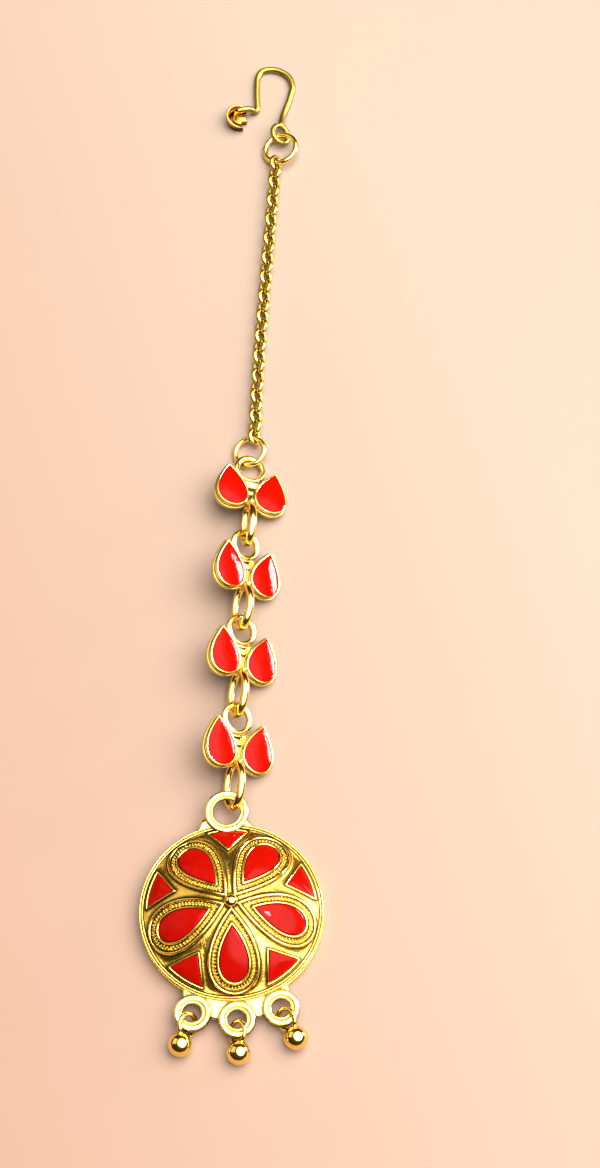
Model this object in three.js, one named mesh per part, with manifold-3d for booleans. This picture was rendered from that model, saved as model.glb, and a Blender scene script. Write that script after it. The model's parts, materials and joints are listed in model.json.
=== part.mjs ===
// Maang tikka, a hair jewel lying face up: millimetres, +Z up, the hook towards +Y.
import * as THREE from 'three';
import { mergeVertices } from 'three/addons/utils/BufferGeometryUtils.js';
import { ParametricGeometry } from 'three/addons/geometries/ParametricGeometry.js';
import Module from 'manifold-3d';

const wasm = await Module();
wasm.setup();

const degrees = Math.PI / 180;

// Clearances between pieces
const inlayGap = 0.1;
const linkPlay = 0.12;
const chainRingPlay = 0.18;
const restGap = 0.02;

// Pendant disc
const discRadius = 12.5;
const discTurn = 3.4 * degrees;
const discSides = 32;
const rimWidth = 0.6;
const rimHeight = 2.15;
const rimStepHeight = 1.1;
const rimStepDepth = 0.15;
const backRimWidth = 1.3;
const domeFootHeight = 1.8;
const domeRise = 4.4;
const domeWall = 1.3;
const studRadius = 0.85;
const studSink = 0.05;

// Flower of petals, and the corners between them
const petalCount = 5;
const petalRimGap = 1.75;
const petalLength = 6.65;
const petalWidth = 3.6;
const petalBorder = 0.42;
const frameTipRadius = 1.1;
const frameRimGap = 0.1;
const frameWidth = 6.6;
const frameBorder = 0.5;
const borderRise = 0.4;
const borderSink = 0.35;
const cornerRimGap = 0.7;
const cornerDepth = 2.9;
const cornerHalfAngle = 12 * degrees;
const cornerBorder = 0.36;
const enamelThickness = 0.28;
const enamelCrown = 0.16;

// Rings cast on the disc
const topRing = { radius: 2.9, band: 1.05, thickness: 1.0, height: 2.35, reach: 1.65, foot: 3.4 };
const eyelet = { radius: 2.35, band: 1.12, thickness: 1.3, height: 1.75, reach: 2.5, foot: 1.9 };
const eyeletCount = 3;
const eyeletSpread = 23.2 * degrees;
const webThickness = 0.9;

// Ball drops
const ballRadius = 1.62;
const dropWire = 0.66;
const dropTilt = 42 * degrees;
const dropNames = ['left', 'middle', 'right'];

// Leaf links
const leafLength = 6.5;
const leafWidth = 4.3;
const leafTilt = 8.5 * degrees;
const leafTipAcross = 3.55;
const leafTipUp = 5.55;
const leafRim = 0.38;
const leafFoot = 0.2;
const leafThickness = 1.3;
const leafFootThickness = 0.55;
const leafPocket = 0.4;
const linkBeadRadius = 0.42;
const linkEye = { radius: 2.45, band: 0.88, thickness: 0.85, up: 6.55, sink: 0.8 };
const linkLoopWire = 1.02;
const linkLoopHalfDepth = 2.05;
const linkLoopReach = 6.4;
const linkLoopSink = 0.6;

// How each leaf link lies, in degrees, and how loosely it hangs on the ring below, from the top one down
const leafLinkPoses = [
  { turn: -1, pitch: -7.8, roll: 21, aside: 11, slack: 0.6 },
  { turn: -2.3, pitch: 0.5, roll: 34, aside: 3, slack: 0.68 },
  { turn: -2.5, pitch: 0, roll: 31, aside: 1, slack: 0.3 },
  { turn: -2.2, pitch: 3, roll: 32, aside: 24, slack: 0.48 },
];

// Jump rings
const lowerRing = { radius: 2.65, wire: 0.8, roll: -19 * degrees, rise: 1.1 };
const upperRing = { radius: 2.95, wire: 0.88, roll: -18 * degrees };

// Chain, whose route is given in shares of the chain's length
const chainLinkCount = 29;
const chainWire = 0.56;
const chainLinkWidth = 2.45;
const chainPitch = 1.742;
const chainBite = 0.05;
const chainRoll = 47 * degrees;
const chainFirstRise = 0.31;
const chainLastRise = 0.09;
const chainRoute = [
  { across: 0, up: 0, rise: chainFirstRise },
  { across: 0.01, up: 0.25, rise: 0 },
  { across: 0.026, up: 0.5, rise: 0 },
  { across: 0.044, up: 0.76, rise: 0 },
  { across: 0.066, up: 1.07, rise: chainLastRise },
];
const chainRingAside = 15 * degrees;

// Hook
const hookWire = 0.85;
const hookEyeLength = 4.0;
const hookEyeWidth = 3.6;
const hookEyeRoll = 32 * degrees;
const hookLegLength = 6.8;
const hookLegLean = 1.4;
const hookEyeRise = 0.75;
const hookArchWidth = 6.4;
const hookArchRise = 4.55;
const hookShortLeg = 4.75;
const hookBarLength = 3.0;
const hookSteps = 34;

// Curled piece on the tip
const curlRadius = 1.95;
const curlWall = 0.5;
const curlHeight = 2.1;
const curlStart = 62 * degrees;
const curlEnd = 292 * degrees;
const heartLength = 2.4;
const heartWidth = 2.6;
const heartHeight = 1.5;
const heartTurn = -60 * degrees;

const gold = new THREE.MeshStandardMaterial({ color: 0xe0a92e, roughness: 0.22, metalness: 1 });
const redEnamel = new THREE.MeshStandardMaterial({ color: 0xd81208, roughness: 0.12, metalness: 0 });
const redGold = new THREE.MeshStandardMaterial({ color: 0xd08a3c, roughness: 0.3, metalness: 1 });

// Solids from surfaces

// Turns a closed surface into a solid, with its faces outwards
function solidOf(geometry) {
  const bare = new THREE.BufferGeometry();
  bare.setAttribute('position', geometry.getAttribute('position').clone());
  bare.setIndex(geometry.index ? geometry.index.clone() : null);
  const merged = mergeVertices(bare, 1e-4);
  const points = merged.getAttribute('position').array;
  const corners = merged.index.array;
  const faces = [];
  for (let i = 0; i < corners.length; i += 3) {
    const [a, b, c] = [corners[i], corners[i + 1], corners[i + 2]];
    if (a !== b && b !== c && c !== a) faces.push(a, b, c);
  }
  if (signedVolume(points, faces) < 0) faces.reverse();
  return new wasm.Manifold(new wasm.Mesh({
    numProp: 3,
    vertProperties: new Float32Array(points),
    triVerts: new Uint32Array(faces),
  }));
}

// Sum of the tetrahedra between the origin and each face
function signedVolume(points, faces) {
  const [a, b, c] = [new THREE.Vector3(), new THREE.Vector3(), new THREE.Vector3()];
  let sum = 0;
  for (let i = 0; i < faces.length; i += 3) {
    a.fromArray(points, 3 * faces[i]);
    b.fromArray(points, 3 * faces[i + 1]);
    c.fromArray(points, 3 * faces[i + 2]);
    sum += a.dot(b.cross(c)) / 6;
  }
  return sum;
}

function geometryOf(solid) {
  const mesh = solid.getMesh();
  const geometry = new THREE.BufferGeometry();
  geometry.setAttribute('position', new THREE.BufferAttribute(mesh.vertProperties, 3));
  geometry.setIndex(new THREE.BufferAttribute(mesh.triVerts, 1));
  geometry.computeVertexNormals();
  return geometry;
}

function joined(geometries) {
  return geometries.map(solidOf).reduce((whole, piece) => whole.add(piece));
}

function namedMesh(name, solid, material) {
  const mesh = new THREE.Mesh(geometryOf(solid), material);
  mesh.name = name;
  return mesh;
}

// Surfaces

// A wire's section: [outwards, upwards] from its centre line
function roundSection(width, thickness, sides) {
  return Array.from({ length: sides }, (_, i) => {
    const angle = (2 * Math.PI * (i + 0.5)) / sides;
    return [(width / 2) * Math.cos(angle), (thickness / 2) * Math.sin(angle)];
  });
}

// A low border's section, its foot sunk in the ground that it stands on
function ridgeSection(width) {
  return [
    [-width / 2, -borderSink],
    [width / 2, -borderSink],
    [0, borderRise],
  ];
}

// A section carried round a closed line of stations, each a point with its out and up directions
function sweptRound(stations, section) {
  const place = (u, v, target) => {
    const station = stations[Math.round(u * stations.length) % stations.length];
    const [out, up] = section[Math.round(v * section.length) % section.length];
    target.copy(station.point).addScaledVector(station.out, out).addScaledVector(station.up, up);
  };
  return new ParametricGeometry(place, stations.length, section.length);
}

// Stations round an ellipse in the XY plane
function ellipseStations(halfAcross, halfUp, count) {
  return Array.from({ length: count }, (_, i) => {
    const angle = (2 * Math.PI * i) / count;
    const point = new THREE.Vector3(halfAcross * Math.cos(angle), halfUp * Math.sin(angle), 0);
    const out = new THREE.Vector3(halfUp * Math.cos(angle), halfAcross * Math.sin(angle), 0);
    return { point, out: out.normalize(), up: new THREE.Vector3(0, 0, 1) };
  });
}

// A flat ring whose band has an oval section
function flatRing({ radius, band, thickness }, count = 14, sides = 6) {
  const centreRadius = radius - band / 2;
  const stations = ellipseStations(centreRadius, centreRadius, count);
  return sweptRound(stations, roundSection(band, thickness, sides));
}

// Stations along a closed outline in plan, on a ground of the given height
function outlineStations(outline, ground) {
  return outline.map((point, i) => {
    const before = outline[(i + outline.length - 1) % outline.length];
    const after = outline[(i + 1) % outline.length];
    const out = new THREE.Vector3(after.y - before.y, before.x - after.x, 0).normalize();
    return {
      point: new THREE.Vector3(point.x, point.y, ground(point.x, point.y)),
      out,
      up: new THREE.Vector3(0, 0, 1),
    };
  });
}

// A teardrop with its tip at the origin and its round end along +X:
// across = width * sin(t) * sin(t / 2) / peak while along = length * (1 - cos(t)) / 2
function teardrop({ length, width, grow = 0, count = 14 }) {
  const peak = 4 / (3 * Math.sqrt(3));
  const tipGrow = 1.5 * grow;
  const whole = length + tipGrow + grow;
  return Array.from({ length: count }, (_, i) => {
    const t = (2 * Math.PI * i) / count;
    const along = (whole * (1 - Math.cos(t))) / 2 - tipGrow;
    const across = ((width / 2 + grow) * Math.sin(t) * Math.sin(t / 2)) / peak;
    return new THREE.Vector2(along, across);
  });
}

// A pad made of rings: each row shrinks the grown outline towards the middle by its share
function padSurface({ outlineAt, middle, rows, ground }) {
  const rings = rows.map(({ grow, share, height }) => outlineAt(grow).map((point) => {
    const spot = middle.clone().lerp(point, share);
    return new THREE.Vector3(spot.x, spot.y, height + ground(spot.x, spot.y));
  }));
  const place = (u, v, target) => {
    const ring = rings[Math.round(v * (rings.length - 1))];
    target.copy(ring[Math.round(u * ring.length) % ring.length]);
  };
  return new ParametricGeometry(place, rings[0].length, rings.length - 1);
}

const level = () => 0;

// Pendant

const domeRadius = discRadius - rimWidth;
const domeSphere = (domeRadius ** 2 + domeRise ** 2) / (2 * domeRise);
const petalTipRadius = domeRadius - petalRimGap - petalLength;
const cornerOuterRadius = domeRadius - cornerRimGap;
const cornerApexRadius = cornerOuterRadius - cornerDepth;

// Height of the outer face of a spherical cap
function domeHeight(x, y) {
  const square = Math.min(x * x + y * y, domeRadius ** 2);
  const foot = Math.sqrt(domeSphere ** 2 - domeRadius ** 2);
  return domeFootHeight + Math.sqrt(domeSphere ** 2 - square) - foot;
}

function discShell() {
  const innerRadius = discRadius - backRimWidth;
  const outerSteps = [0, 0.24, 0.48, 0.7, 0.87, 1];
  const innerSteps = [1, 0.75, 0.45, 0];
  const profile = outerSteps.map((share) => {
    const radius = share * domeRadius;
    return new THREE.Vector2(radius, domeHeight(radius, 0));
  });
  profile.push(new THREE.Vector2(domeRadius + rimWidth / 4, rimHeight));
  profile.push(new THREE.Vector2(discRadius - rimStepDepth - rimWidth / 4, rimHeight));
  profile.push(new THREE.Vector2(discRadius - rimStepDepth, rimHeight - rimWidth / 3));
  profile.push(new THREE.Vector2(discRadius - rimStepDepth, rimStepHeight));
  profile.push(new THREE.Vector2(discRadius, rimStepHeight));
  profile.push(new THREE.Vector2(discRadius, 0));
  profile.push(new THREE.Vector2(innerRadius, 0));
  for (const share of innerSteps) {
    const radius = share * innerRadius;
    profile.push(new THREE.Vector2(radius, domeHeight(radius, 0) - domeWall));
  }
  return new THREE.LatheGeometry(profile, discSides).rotateX(Math.PI / 2);
}

// Border outlines and enamel outlines, each along +X from the middle of the disc
function petalOutline(grow) {
  const outline = teardrop({ length: petalLength, width: petalWidth, grow });
  return outline.map((point) => point.setX(point.x + petalTipRadius));
}

function frameOutline() {
  const end = domeRadius - frameBorder / 2 - frameRimGap;
  const outline = teardrop({ length: end - frameTipRadius, width: frameWidth });
  return outline.map((point) => point.setX(point.x + frameTipRadius));
}

// A three-cornered cell: two straight sides from the apex and an arc along the rim
function cornerOutline(grow) {
  const apex = new THREE.Vector2(cornerApexRadius - 1.6 * grow, 0);
  const radius = cornerOuterRadius + grow;
  const half = cornerHalfAngle + (1.3 * grow) / radius;
  const arc = [-1, -0.5, 0, 0.5, 1].map((share) => new THREE.Vector2(
    radius * Math.cos(share * half),
    radius * Math.sin(share * half),
  ));
  const sides = [0.5];
  const rising = sides.map((share) => apex.clone().lerp(arc[0], share));
  const falling = sides.map((share) => apex.clone().lerp(arc[arc.length - 1], 1 - share));
  return [apex, ...rising, ...arc, ...falling];
}

function border(outline, width) {
  return sweptRound(outlineStations(outline, domeHeight), ridgeSection(width));
}

// A ring cast on the rim, towards +X, with a foot that runs into the disc
function castRing(ring) {
  const centre = discRadius + ring.reach;
  const footStart = discRadius - 2 * rimWidth;
  const footLength = centre - ring.radius + ring.band / 2 - footStart;
  const footHeight = Math.min(ring.thickness, webThickness);
  const foot = new THREE.BoxGeometry(footLength, ring.foot, footHeight);
  foot.translate(footStart + footLength / 2, 0, ring.height - (ring.thickness - footHeight) / 2);
  return [flatRing(ring).translate(centre, 0, ring.height), foot];
}

const topRingAngle = 90 * degrees;
const firstPetalAngle = -90 * degrees;
const petalStep = (2 * Math.PI) / petalCount;
const eyeletAngles = dropNames.map((_, i) => firstPetalAngle + (i - (eyeletCount - 1) / 2) * eyeletSpread);

function pendantBody() {
  const pieces = [discShell()];
  for (let i = 0; i < petalCount; i += 1) {
    const angle = firstPetalAngle + i * petalStep;
    pieces.push(border(frameOutline(), frameBorder).rotateZ(angle));
    pieces.push(border(petalOutline(inlayGap + petalBorder / 2), petalBorder).rotateZ(angle));
    const corner = border(cornerOutline(inlayGap + cornerBorder / 2), cornerBorder);
    pieces.push(corner.rotateZ(angle + petalStep / 2));
  }
  const stud = new THREE.SphereGeometry(studRadius, 12, 8);
  pieces.push(stud.translate(0, 0, domeHeight(0, 0) - studSink));
  for (const piece of castRing(topRing)) pieces.push(piece.rotateZ(topRingAngle));
  for (const angle of eyeletAngles) {
    for (const piece of castRing(eyelet)) pieces.push(piece.rotateZ(angle));
  }
  return joined(pieces);
}

// Low crowned enamel that follows the dome
function domeEnamel(outlineAt, middle) {
  const top = inlayGap + enamelThickness;
  const rows = [
    { grow: 0, share: 0, height: inlayGap },
    { grow: 0, share: 0.5, height: inlayGap },
    { grow: 0, share: 1, height: inlayGap },
    { grow: 0, share: 1, height: top },
    { grow: 0, share: 0.6, height: top + enamelCrown * 0.75 },
    { grow: 0, share: 0, height: top + enamelCrown },
  ];
  return solidOf(padSurface({ outlineAt, middle, rows, ground: domeHeight }));
}

const petalMiddle = new THREE.Vector2(petalTipRadius + petalLength * 0.6, 0);
const cornerMiddle = new THREE.Vector2(cornerApexRadius * 0.4 + cornerOuterRadius * 0.6, 0);

// Ball drops

// The loop holds the band of an eyelet, and its foot is fused with the ball
const dropLoopHalfHeight = (eyelet.thickness / Math.cos(dropTilt) + dropWire) / 2 + 2 * linkPlay;
const dropLoopHalfLength = (eyelet.band + dropWire) / 2 + 5 * linkPlay;
const eyeletBandRadius = discRadius + eyelet.reach + eyelet.radius - eyelet.band / 2;
const dropLoopCentre = eyeletBandRadius - linkPlay;
const ballCentre = dropLoopCentre + dropLoopHalfLength + ballRadius - dropWire / 2;

function ballDrop(side) {
  const loop = sweptRound(
    ellipseStations(dropLoopHalfLength, dropLoopHalfHeight, 12),
    roundSection(dropWire, dropWire, 5),
  );
  loop.rotateX(Math.PI / 2 + side * dropTilt).translate(dropLoopCentre, 0, eyelet.height);
  const ball = new THREE.SphereGeometry(ballRadius, 12, 8);
  ball.translate(ballCentre, 0, ballRadius + restGap);
  return joined([ball, loop]);
}

// Leaf links, each in its own frame: the junction at the origin, the face towards +Z, the eyelet towards +Y

const leafOutline = (grow) => teardrop({ length: leafLength, width: leafWidth, grow });
const leafMiddle = new THREE.Vector2(leafLength * 0.62, 0);
const leafTop = leafThickness / 2;

// Cup of a leaf: a foot, a body set in from it, a rim and a pocket for the enamel
function leafCup() {
  const pocketFloor = leafTop - leafPocket;
  const rows = [
    { grow: 0, share: 0, height: -leafTop },
    { grow: inlayGap + leafRim, share: 1, height: -leafTop },
    { grow: inlayGap + leafRim, share: 1, height: leafFootThickness - leafTop },
    { grow: inlayGap + leafRim - leafFoot, share: 1, height: leafFootThickness - leafTop },
    { grow: inlayGap + leafRim - leafFoot, share: 1, height: leafTop },
    { grow: inlayGap, share: 1, height: leafTop },
    { grow: inlayGap, share: 1, height: pocketFloor },
    { grow: inlayGap, share: 0, height: pocketFloor },
  ];
  return padSurface({ outlineAt: leafOutline, middle: leafMiddle, rows, ground: level });
}

function leafEnamel() {
  const floor = leafTop - leafPocket + inlayGap;
  const rows = [
    { grow: 0, share: 0, height: floor },
    { grow: 0, share: 1, height: floor },
    { grow: 0, share: 1, height: leafTop },
    { grow: 0, share: 0.6, height: leafTop + enamelCrown * 0.75 },
    { grow: 0, share: 0, height: leafTop + enamelCrown },
  ];
  return padSurface({ outlineAt: leafOutline, middle: leafMiddle, rows, ground: level });
}

// Puts a leaf's surface at its side of the link: -1 is left, 1 is right
function atSide(surface, side) {
  return surface.rotateZ(-Math.PI / 2 - side * leafTilt).translate(side * leafTipAcross, leafTipUp, 0);
}

function linkBody() {
  const cups = [-1, 1].map((side) => atSide(leafCup(), side));
  const eye = flatRing(linkEye).translate(0, linkEye.up, -linkEye.sink);
  const loop = sweptRound(
    ellipseStations(linkLoopReach / 2, linkLoopHalfDepth, 12),
    roundSection(linkLoopWire, linkLoopWire, 5),
  );
  loop.rotateZ(Math.PI / 2).rotateY(Math.PI / 2).translate(0, -linkLoopReach / 2, -linkLoopSink);
  const webTop = linkEye.up - linkEye.radius + linkEye.band / 2;
  const webShape = new THREE.Shape([
    new THREE.Vector2(-0.3, 0),
    new THREE.Vector2(0.3, 0),
    new THREE.Vector2(leafTipAcross * 0.45, webTop),
    new THREE.Vector2(-leafTipAcross * 0.45, webTop),
  ]);
  const web = new THREE.ExtrudeGeometry(webShape, { depth: linkEye.thickness, bevelEnabled: false });
  web.translate(0, 0, -linkEye.sink - linkEye.thickness / 2);
  const bead = new THREE.SphereGeometry(linkBeadRadius, 8, 6).translate(0, 0, leafTop);
  return joined([...cups, eye, loop, web, bead]);
}

// Point on the middle line of a ring's band, at an angle to the right of its top
function bandPoint({ centre, radius, band }, angle) {
  const reach = radius - band / 2;
  return centre.clone().add(new THREE.Vector3(reach * Math.sin(angle), reach * Math.cos(angle), 0));
}

// Height of the junction at which a link, lying on its right leaf, meets the surface
function junctionHeight(rotation, body) {
  const box = new THREE.Box3();
  const points = geometryOf(body).getAttribute('position');
  const corner = new THREE.Vector3();
  for (let i = 0; i < points.count; i += 1) {
    box.expandByPoint(corner.fromBufferAttribute(points, i).applyEuler(rotation));
  }
  return restGap - box.min.z;
}

// Chain

const chainHalfLength = (chainPitch + chainWire - chainBite) / 2;
const chainHalfWidth = (chainLinkWidth - chainWire) / 2;

function chainLink() {
  return sweptRound(
    ellipseStations(chainHalfLength, chainHalfWidth, 10),
    roundSection(chainWire, chainWire, 5),
  );
}

const chainHeight = chainHalfWidth * Math.sin(chainRoll) + chainWire / 2 + restGap;

// Links set along the route at one pitch, each rolled the other way from its neighbour
function chainPlaces(start) {
  const whole = chainPitch * (chainLinkCount - 1);
  const points = chainRoute.map(({ across, up, rise }) => (
    new THREE.Vector3(across * whole, up * whole, rise).add(start)
  ));
  const route = new THREE.CatmullRomCurve3(points);
  const length = route.getLength();
  return Array.from({ length: chainLinkCount }, (_, i) => {
    const share = (i * chainPitch) / length;
    const point = route.getPointAt(share);
    const tangent = route.getTangentAt(share);
    return { point, turn: Math.atan2(tangent.y, tangent.x), roll: (i % 2 ? -1 : 1) * chainRoll };
  });
}

function chainSolid(places) {
  return joined(places.map(({ point, turn, roll }) => (
    chainLink().rotateX(roll).rotateZ(turn).translate(point.x, point.y, point.z)
  )));
}

// Height of the middle of a rolled ring that touches the surface
function ringHeight({ radius, wire, roll }) {
  return (radius - wire / 2) * Math.sin(Math.abs(roll)) + wire / 2 + restGap;
}

function wireRing({ radius, wire }) {
  return solidOf(flatRing({ radius, band: wire, thickness: wire }, 16, 6));
}

// Hook

// The eye is a loop round the jump ring; the wire runs up the leg, over the arch and down to the tip
function hookRoute() {
  const archLeft = hookLegLean - hookArchWidth + hookWire;
  const archTop = hookLegLength + hookArchRise - hookWire / 2;
  const archMiddle = (hookLegLean + archLeft) / 2;
  const bend = hookLegLength - hookShortLeg;
  const height = hookWire / 2 + restGap;
  return [
    { across: 0, up: 0, height: height + hookEyeRise },
    { across: hookLegLean * 0.3, up: hookLegLength * 0.35, height: height + hookEyeRise / 3 },
    { across: hookLegLean * 0.85, up: hookLegLength * 0.78, height },
    { across: hookLegLean, up: hookLegLength + hookArchRise * 0.15, height },
    { across: hookLegLean * 0.7, up: hookLegLength + hookArchRise * 0.58, height },
    { across: archMiddle + hookArchWidth * 0.16, up: archTop - hookArchRise * 0.05, height },
    { across: archMiddle - hookArchWidth * 0.1, up: archTop, height },
    { across: archLeft + hookArchWidth * 0.1, up: hookLegLength + hookArchRise * 0.55, height },
    { across: archLeft, up: hookLegLength, height },
    { across: archLeft, up: bend + hookShortLeg * 0.4, height },
    { across: archLeft, up: bend + hookWire * 0.4, height },
    { across: archLeft - hookWire * 0.45, up: bend, height },
    { across: archLeft - hookBarLength, up: bend - hookWire * 0.45, height },
  ].map((place) => new THREE.Vector3(place.across, place.up, place.height));
}

function hookTube(width, steps) {
  const sides = 7;
  const section = new THREE.Shape(roundSection(width, width, sides).map(([x, y]) => new THREE.Vector2(x, y)));
  const extrudePath = new THREE.CatmullRomCurve3(hookRoute(), false, 'centripetal');
  return new THREE.ExtrudeGeometry(section, { steps, extrudePath, bevelEnabled: false });
}

function hookSolid() {
  const eye = sweptRound(
    ellipseStations((hookEyeWidth - hookWire) / 2, (hookEyeLength - hookWire) / 2, 14),
    roundSection(hookWire, hookWire, 6),
  );
  const eyeReach = (hookEyeLength - hookWire) / 2;
  eye.rotateY(hookEyeRoll).translate(0, -eyeReach, hookRoute()[0].z);
  return joined([hookTube(hookWire, hookSteps), eye]);
}

// Curled tip: a C-shaped strip round a small heart, both open towards the bar of the hook

function curlSolid() {
  const curl = new THREE.Shape();
  curl.absarc(0, 0, curlRadius, curlStart, curlEnd, false);
  curl.absarc(0, 0, curlRadius - curlWall, curlEnd, curlStart, true);
  const strip = new THREE.ExtrudeGeometry(curl, { depth: curlHeight, bevelEnabled: false, curveSegments: 11 });
  const heart = new THREE.Shape();
  const lobe = heartWidth / 4;
  heart.moveTo(-curlRadius + curlWall / 2, 0);
  heart.lineTo(0, heartWidth / 2);
  heart.quadraticCurveTo(heartLength / 2, heartWidth / 2, heartLength / 2, lobe);
  heart.lineTo(heartLength / 3, 0);
  heart.lineTo(heartLength / 2, -lobe);
  heart.quadraticCurveTo(heartLength / 2, -heartWidth / 2, 0, -heartWidth / 2);
  const plate = new THREE.ExtrudeGeometry(heart, { depth: heartHeight, bevelEnabled: false, curveSegments: 4 });
  return joined([strip, plate.rotateZ(heartTurn)]);
}

// Assembly

const jewel = new THREE.Group();

const disc = new THREE.Group();
disc.rotation.z = discTurn;
jewel.add(disc);
disc.add(namedMesh('pendant_body', pendantBody(), gold));
for (let i = 0; i < petalCount; i += 1) {
  const angle = firstPetalAngle + i * petalStep;
  const petal = namedMesh(`petal_enamel_${i + 1}`, domeEnamel(petalOutline, petalMiddle), redEnamel);
  petal.rotation.z = angle;
  const corner = namedMesh(`corner_enamel_${i + 1}`, domeEnamel(cornerOutline, cornerMiddle), redEnamel);
  corner.rotation.z = angle + petalStep / 2;
  disc.add(petal, corner);
}
dropNames.forEach((name, i) => {
  const mesh = namedMesh(`drop_${name}`, ballDrop(name === 'left' ? 1 : -1), gold);
  mesh.rotation.z = eyeletAngles[i];
  disc.add(mesh);
});

// The links hang one in the other, from the ring of the disc up
const body = linkBody();
const heldRing = { ...topRing, centre: new THREE.Vector3(discRadius + topRing.reach, 0, topRing.height) };
heldRing.centre.applyAxisAngle(new THREE.Vector3(0, 0, 1), topRingAngle + discTurn);
for (let i = leafLinkPoses.length - 1; i >= 0; i -= 1) {
  const { turn, pitch, roll, aside, slack } = leafLinkPoses[i];
  const link = new THREE.Group();
  link.rotation.set(pitch * degrees, roll * degrees, turn * degrees, 'ZXY');
  const bandAcross = heldRing.band / Math.cos(aside * degrees);
  const drop = linkLoopReach - linkLoopWire / 2 - slack - bandAcross / 2;
  const seat = new THREE.Vector3(0, -drop, -linkLoopSink).applyEuler(link.rotation);
  const band = bandPoint(heldRing, aside * degrees);
  link.position.set(band.x - seat.x, band.y - seat.y, junctionHeight(link.rotation, body));
  link.add(namedMesh(`leaf_link_${i + 1}`, body, gold));
  for (const [name, side] of [['left', -1], ['right', 1]]) {
    const enamel = solidOf(atSide(leafEnamel(), side));
    link.add(namedMesh(`leaf_enamel_${i + 1}_${name}`, enamel, redEnamel));
  }
  jewel.add(link);
  heldRing.centre.set(0, linkEye.up, -linkEye.sink).applyEuler(link.rotation).add(link.position);
  Object.assign(heldRing, { radius: linkEye.radius, band: linkEye.band });
}

// Lower jump ring, through the top link's eyelet
const topBand = bandPoint(heldRing, 0);
const lowerRingMesh = namedMesh('lower_jump_ring', wireRing(lowerRing), gold);
lowerRingMesh.rotation.y = lowerRing.roll;
lowerRingMesh.position.set(topBand.x, topBand.y + lowerRing.rise, ringHeight(lowerRing));
jewel.add(lowerRingMesh);

// Chain, its first and last links each round a jump ring
function linkReach({ radius, wire }) {
  return radius - wire + chainHalfLength - chainWire / 2 - chainRingPlay;
}

const chainStart = new THREE.Vector3(
  lowerRingMesh.position.x + linkReach(lowerRing) * Math.sin(chainRingAside),
  lowerRingMesh.position.y + linkReach(lowerRing) * Math.cos(chainRingAside),
  chainHeight,
);
const places = chainPlaces(chainStart);
jewel.add(namedMesh('chain', chainSolid(places), gold));

const lastLink = places[places.length - 1].point;
const upperRingMesh = namedMesh('top_jump_ring', wireRing(upperRing), gold);
upperRingMesh.rotation.y = upperRing.roll;
upperRingMesh.position.set(
  lastLink.x + linkReach(upperRing) * Math.sin(chainRingAside),
  lastLink.y + linkReach(upperRing) * Math.cos(chainRingAside),
  ringHeight(upperRing),
);
jewel.add(upperRingMesh);

const hook = new THREE.Group();
hook.add(namedMesh('hair_hook', hookSolid(), gold));
hook.position.set(
  upperRingMesh.position.x,
  upperRingMesh.position.y + upperRing.radius + hookEyeLength - upperRing.wire - 2 * hookWire,
  0,
);
const hookTip = hookRoute()[hookRoute().length - 1];
const socketTube = hookTube(hookWire + 2 * inlayGap, hookSteps);
const socketEnd = new THREE.SphereGeometry(hookWire / 2 + 1.5 * inlayGap, 8, 6);
const socket = joined([socketTube.translate(-hookTip.x, -hookTip.y, -hookTip.z), socketEnd]);
const curl = solidOf(geometryOf(curlSolid()).translate(0, 0, restGap - hookTip.z));
const tipMesh = namedMesh('tip_scroll', curl.subtract(socket), redGold);
tipMesh.position.copy(hookTip);
hook.add(tipMesh);
jewel.add(hook);

// Origin under the middle of the whole piece
const whole = new THREE.Box3().setFromObject(jewel, true);
const middle = whole.getCenter(new THREE.Vector3());
jewel.position.set(-middle.x, -middle.y, -whole.min.z);

export default jewel;
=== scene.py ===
"""A maang tikka lying face up on a pale surface: its looks, in metres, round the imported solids."""
import json
import math

import bpy
import numpy as np
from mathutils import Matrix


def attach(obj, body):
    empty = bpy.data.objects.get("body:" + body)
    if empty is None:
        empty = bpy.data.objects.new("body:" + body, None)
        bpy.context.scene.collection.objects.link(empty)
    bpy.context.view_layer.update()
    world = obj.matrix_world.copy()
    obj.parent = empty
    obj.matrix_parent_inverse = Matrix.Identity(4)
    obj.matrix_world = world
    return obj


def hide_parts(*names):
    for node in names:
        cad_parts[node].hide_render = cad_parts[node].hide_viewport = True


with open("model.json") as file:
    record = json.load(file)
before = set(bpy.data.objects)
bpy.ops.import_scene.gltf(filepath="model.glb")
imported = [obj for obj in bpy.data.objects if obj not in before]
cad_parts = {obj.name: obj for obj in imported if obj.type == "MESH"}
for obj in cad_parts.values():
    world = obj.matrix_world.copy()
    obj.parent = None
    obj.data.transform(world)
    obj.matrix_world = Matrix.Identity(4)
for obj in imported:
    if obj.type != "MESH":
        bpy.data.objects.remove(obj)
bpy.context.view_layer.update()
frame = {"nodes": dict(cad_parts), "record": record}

MM = 0.001
TAU = 2 * math.pi

# Sizes in millimetres, as in the part's source
inlay_gap = 0.1
link_play = 0.12
chain_ring_play = 0.18
rest_gap = 0.02

disc_radius = 12.5
disc_turn = math.radians(3.4)
rim_width = 0.6
rim_height = 2.15
rim_step_height = 1.1
rim_step_depth = 0.15
back_rim_width = 1.3
dome_foot_height = 1.8
dome_rise = 4.4
dome_wall = 1.3
stud_radius = 0.85

petal_count = 5
petal_length = 6.65
petal_rim_gap = 1.75
petal_width = 3.6
petal_border = 0.42
frame_tip_radius = 1.1
frame_rim_gap = 0.1
frame_width = 6.6
frame_border = 0.5
border_rise = 0.4
corner_rim_gap = 0.7
corner_depth = 2.9
corner_half_angle = math.radians(12)
corner_border = 0.36
border_sink = 0.12
enamel_thickness = 0.28
enamel_crown = 0.16
glaze_grow = 0.08

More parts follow.
